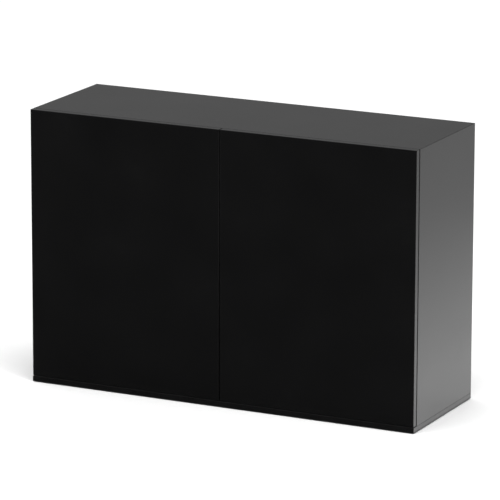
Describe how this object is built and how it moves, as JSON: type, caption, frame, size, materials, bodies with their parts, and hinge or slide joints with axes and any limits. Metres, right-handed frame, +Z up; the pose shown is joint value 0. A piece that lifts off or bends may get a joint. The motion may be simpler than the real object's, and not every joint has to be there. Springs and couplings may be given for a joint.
{
  "type": "aquarium stand cabinet",
  "caption": "Black aquarium stand cabinet with handle-less swing doors on concealed hinges, push latches, shelves and cable openings in its back.",
  "frame": {"origin": "on the floor under the middle of the cabinet's footprint", "axes": "+X to the right seen from the front, +Y from the doors to the back, +Z up"},
  "size_m": [1.2, 0.4, 0.802],
  "materials": {
    "black_board": "particle board covered in smooth satin black foil",
    "hardboard": "thin fibreboard, black painted inner face",
    "nickel": "nickel-plated steel",
    "zinc": "zinc-plated steel",
    "black_plastic": "moulded black plastic",
    "grey_plastic": "moulded grey plastic",
    "bumper_rubber": "soft translucent polyurethane"
  },
  "bodies": {
    "cabinet": {"top_panel": "black_board", "base_panel": "black_board", "centre_partition": "black_board", "base_glide_1": "black_plastic", "base_glide_2": "black_plastic", "base_glide_3": "black_plastic", "base_glide_4": "black_plastic", "base_glide_5": "black_plastic", "base_glide_6": "black_plastic", "left_side_panel": "black_board", "left_back_panel": "hardboard", "left_cable_grommet": "black_plastic", "left_shelf": "black_board", "left_shelf_support_inner_front": "nickel", "left_shelf_support_inner_rear": "nickel", "left_shelf_support_outer_front": "nickel", "left_shelf_support_outer_rear": "nickel", "left_lower_hinge_mounting_plate": "nickel", "left_lower_hinge_arm": "nickel", "left_upper_hinge_mounting_plate": "nickel", "left_upper_hinge_arm": "nickel", "left_latch_housing": "grey_plastic", "right_side_panel": "black_board", "right_back_panel": "hardboard", "right_cable_grommet": "black_plastic", "right_shelf": "black_board", "right_shelf_support_inner_front": "nickel", "right_shelf_support_inner_rear": "nickel", "right_shelf_support_outer_front": "nickel", "right_shelf_support_outer_rear": "nickel", "right_lower_hinge_mounting_plate": "nickel", "right_lower_hinge_arm": "nickel", "right_upper_hinge_mounting_plate": "nickel", "right_upper_hinge_arm": "nickel", "right_latch_housing": "grey_plastic"},
    "left_outer_links": {"left_lower_hinge_outer_link": "zinc", "left_upper_hinge_outer_link": "zinc"},
    "left_inner_links": {"left_lower_hinge_inner_link": "zinc", "left_upper_hinge_inner_link": "zinc"},
    "left_door_leaf": {"left_door": "black_board", "left_lower_hinge_cup": "nickel", "left_upper_hinge_cup": "nickel", "left_latch_strike": "nickel", "left_lower_door_bumper": "bumper_rubber", "left_upper_door_bumper": "bumper_rubber"},
    "left_plunger": {"left_latch_plunger": "grey_plastic"},
    "right_outer_links": {"right_lower_hinge_outer_link": "zinc", "right_upper_hinge_outer_link": "zinc"},
    "right_inner_links": {"right_lower_hinge_inner_link": "zinc", "right_upper_hinge_inner_link": "zinc"},
    "right_door_leaf": {"right_door": "black_board", "right_lower_hinge_cup": "nickel", "right_upper_hinge_cup": "nickel", "right_latch_strike": "nickel", "right_lower_door_bumper": "bumper_rubber", "right_upper_door_bumper": "bumper_rubber"},
    "right_plunger": {"right_latch_plunger": "grey_plastic"}
  },
  "joints": [
    {"name": "left_outer_link_pivot", "type": "hinge", "parent": "cabinet", "child": "left_outer_links", "pos_m": [-0.5738, -0.1701, 0.411], "axis": [0, 0, 1], "range_deg": [0, 38.2]},
    {"name": "left_door_swing", "type": "hinge", "parent": "left_outer_links", "child": "left_door_leaf", "pos_m": [-0.5904, -0.1848, 0.411], "axis": [0, 0, -1], "range_deg": [0, 130.18]},
    {"name": "left_inner_link_pivot", "type": "hinge", "parent": "cabinet", "child": "left_inner_links", "pos_m": [-0.5708, -0.1864, 0.411], "axis": [0, 0, 1], "range_deg": [0, 63.4]},
    {"name": "left_latch_slide", "type": "slide", "parent": "cabinet", "child": "left_plunger", "axis": [0, -1, 0], "range_m": [0, 0.0301]},
    {"name": "right_outer_link_pivot", "type": "hinge", "parent": "cabinet", "child": "right_outer_links", "pos_m": [0.5738, -0.1701, 0.411], "axis": [0, 0, -1], "range_deg": [0, 38.2]},
    {"name": "right_door_swing", "type": "hinge", "parent": "right_outer_links", "child": "right_door_leaf", "pos_m": [0.5904, -0.1848, 0.411], "axis": [0, 0, 1], "range_deg": [0, 130.18]},
    {"name": "right_inner_link_pivot", "type": "hinge", "parent": "cabinet", "child": "right_inner_links", "pos_m": [0.5708, -0.1864, 0.411], "axis": [0, 0, -1], "range_deg": [0, 63.4]},
    {"name": "right_latch_slide", "type": "slide", "parent": "cabinet", "child": "right_plunger", "axis": [0, -1, 0], "range_m": [0, 0.0301]}
  ],
  "couplings": [
    {"joint": "left_outer_link_pivot", "follows": "left_door_swing", "ratio": 0.29329},
    {"joint": "left_inner_link_pivot", "follows": "left_door_swing", "ratio": 0.48693},
    {"joint": "left_latch_slide", "follows": "left_door_swing", "m_per_rad": 0.013204},
    {"joint": "right_outer_link_pivot", "follows": "right_door_swing", "ratio": 0.29329},
    {"joint": "right_inner_link_pivot", "follows": "right_door_swing", "ratio": 0.48693},
    {"joint": "right_latch_slide", "follows": "right_door_swing", "m_per_rad": 0.013204}
  ]
}
